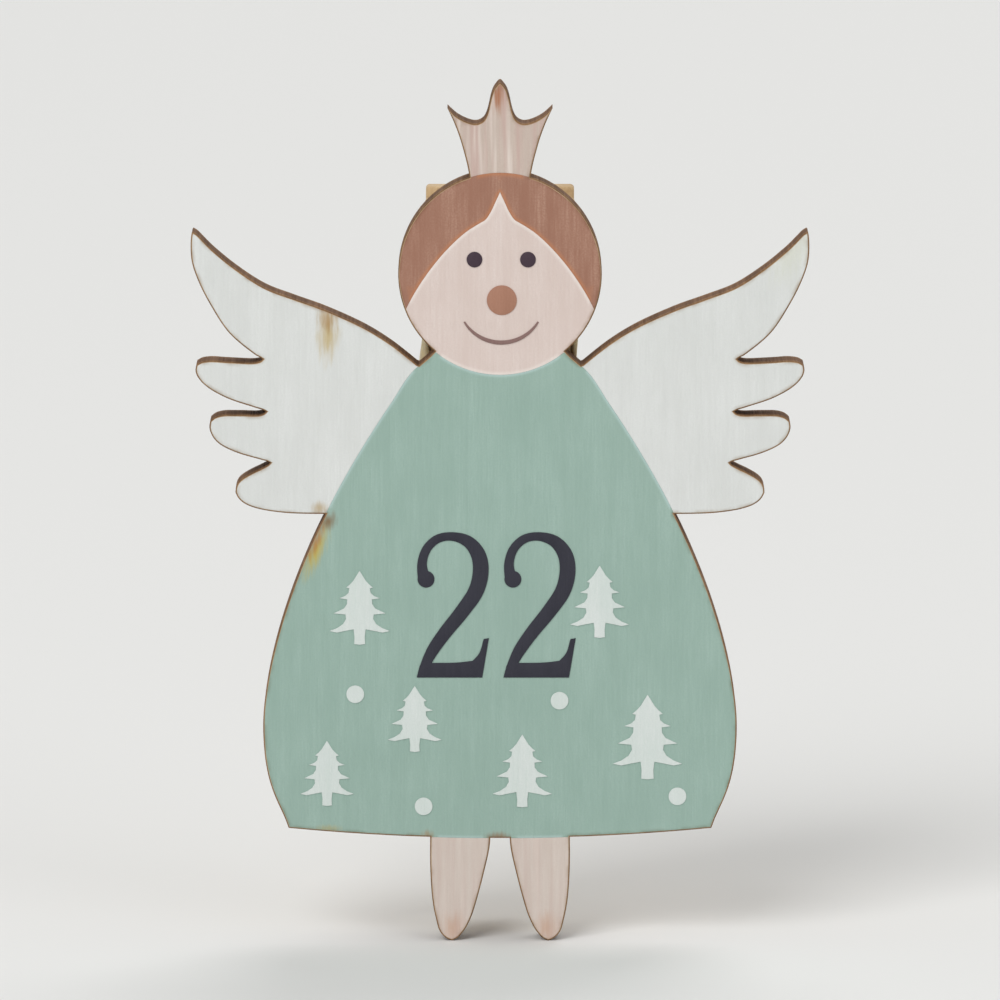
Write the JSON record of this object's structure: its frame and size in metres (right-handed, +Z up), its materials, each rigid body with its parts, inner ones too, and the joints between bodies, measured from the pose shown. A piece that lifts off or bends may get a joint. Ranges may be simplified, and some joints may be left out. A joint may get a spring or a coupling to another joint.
{
  "type": "clothespin doll",
  "caption": "Flat printed wooden angel glued to the front of a small sprung wooden peg, which clips it on a line or on the edge of a card.",
  "frame": {"origin": "on the axis of the line groove, midway between the closed jaws and midway across the peg", "axes": "+X to the viewer's right, along a line held in the groove; +Y away from the printed front, towards the rear lever; +Z up towards the crown"},
  "size_m": [0.033, 0.0105, 0.0464],
  "materials": {
    "peg_wood": "sawn and tumbled birch, unvarnished",
    "spring_wire": "drawn zinc-plated spring wire",
    "dried_glue": "clear glue, set",
    "back_veneer": "bare sanded plywood face",
    "core_veneer": "plywood edge browned by the laser",
    "front_veneer": "bare sanded plywood face with browned edge",
    "wood_grain_ink": "thin ink printed as pale wood grain",
    "brown_ink": "thin matt ink, the grain showing through",
    "skin_ink": "thin matt ink, the grain showing through",
    "dark_ink": "thin matt ink",
    "tan_ink": "thin matt ink",
    "line_ink": "thin matt ink",
    "green_ink": "thin matt ink, the grain showing through",
    "white_ink": "thin matt ink, the grain showing through",
    "motif_ink": "thin matt ink",
    "number_ink": "thin matt ink"
  },
  "bodies": {
    "front": {"peg_front_lever": "peg_wood", "peg_spring": "spring_wire", "glue_upper": "dried_glue", "glue_lower": "dried_glue", "figure_back_ply": "back_veneer", "figure_core_ply": "core_veneer", "figure_front_ply": "front_veneer", "crown_print": "wood_grain_ink", "hair_print": "brown_ink", "face_print": "skin_ink", "eyes_print": "dark_ink", "nose_print": "tan_ink", "smile_print": "line_ink", "dress_print": "green_ink", "wing_print_left": "white_ink", "wing_print_right": "white_ink", "leg_print": "wood_grain_ink", "tree_print": "motif_ink", "dot_print": "motif_ink", "number_print": "number_ink"},
    "rear": {"peg_rear_lever": "peg_wood"}
  },
  "joints": [
    {"name": "jaw_opening", "type": "hinge", "parent": "front", "child": "rear", "pos_m": [0, 0, 0.008], "axis": [1, 0, 0], "range_deg": [0, 17.5], "stiffness_Nm_per_rad": 0.03, "springref_deg": -51.57, "deforming": ["peg_spring"]}
  ]
}
